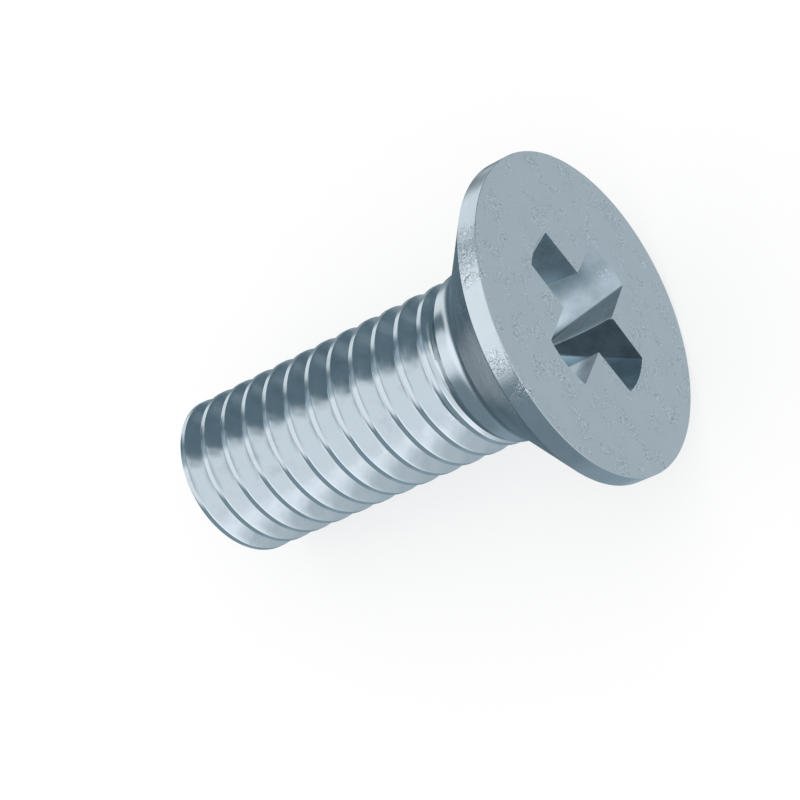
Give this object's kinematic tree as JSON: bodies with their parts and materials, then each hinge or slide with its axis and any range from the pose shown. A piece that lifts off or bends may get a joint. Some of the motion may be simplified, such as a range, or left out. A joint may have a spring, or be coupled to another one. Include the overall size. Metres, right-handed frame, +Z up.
{
  "type": "countersunk machine screw",
  "caption": "Countersunk machine screw with a flat head, a cross recess, a filleted neck and a right-hand metric thread to the tip, lying on its side.",
  "frame": {"origin": "on the surface that the screw lies on, under the middle of its bounding box", "axes": "+Z up; the screw's axis lies in the XZ plane, with the head at +X, and rises 10.0 degrees towards the head; Y across"},
  "size_m": [0.0172, 0.0112, 0.0111],
  "materials": {
    "zinc_steel": "bright zinc plating on steel, bluish, smooth on the thread and satin with fine specks and scratches on the head"
  },
  "bodies": {
    "root": {"screw": "zinc_steel"}
  },
  "joints": []
}
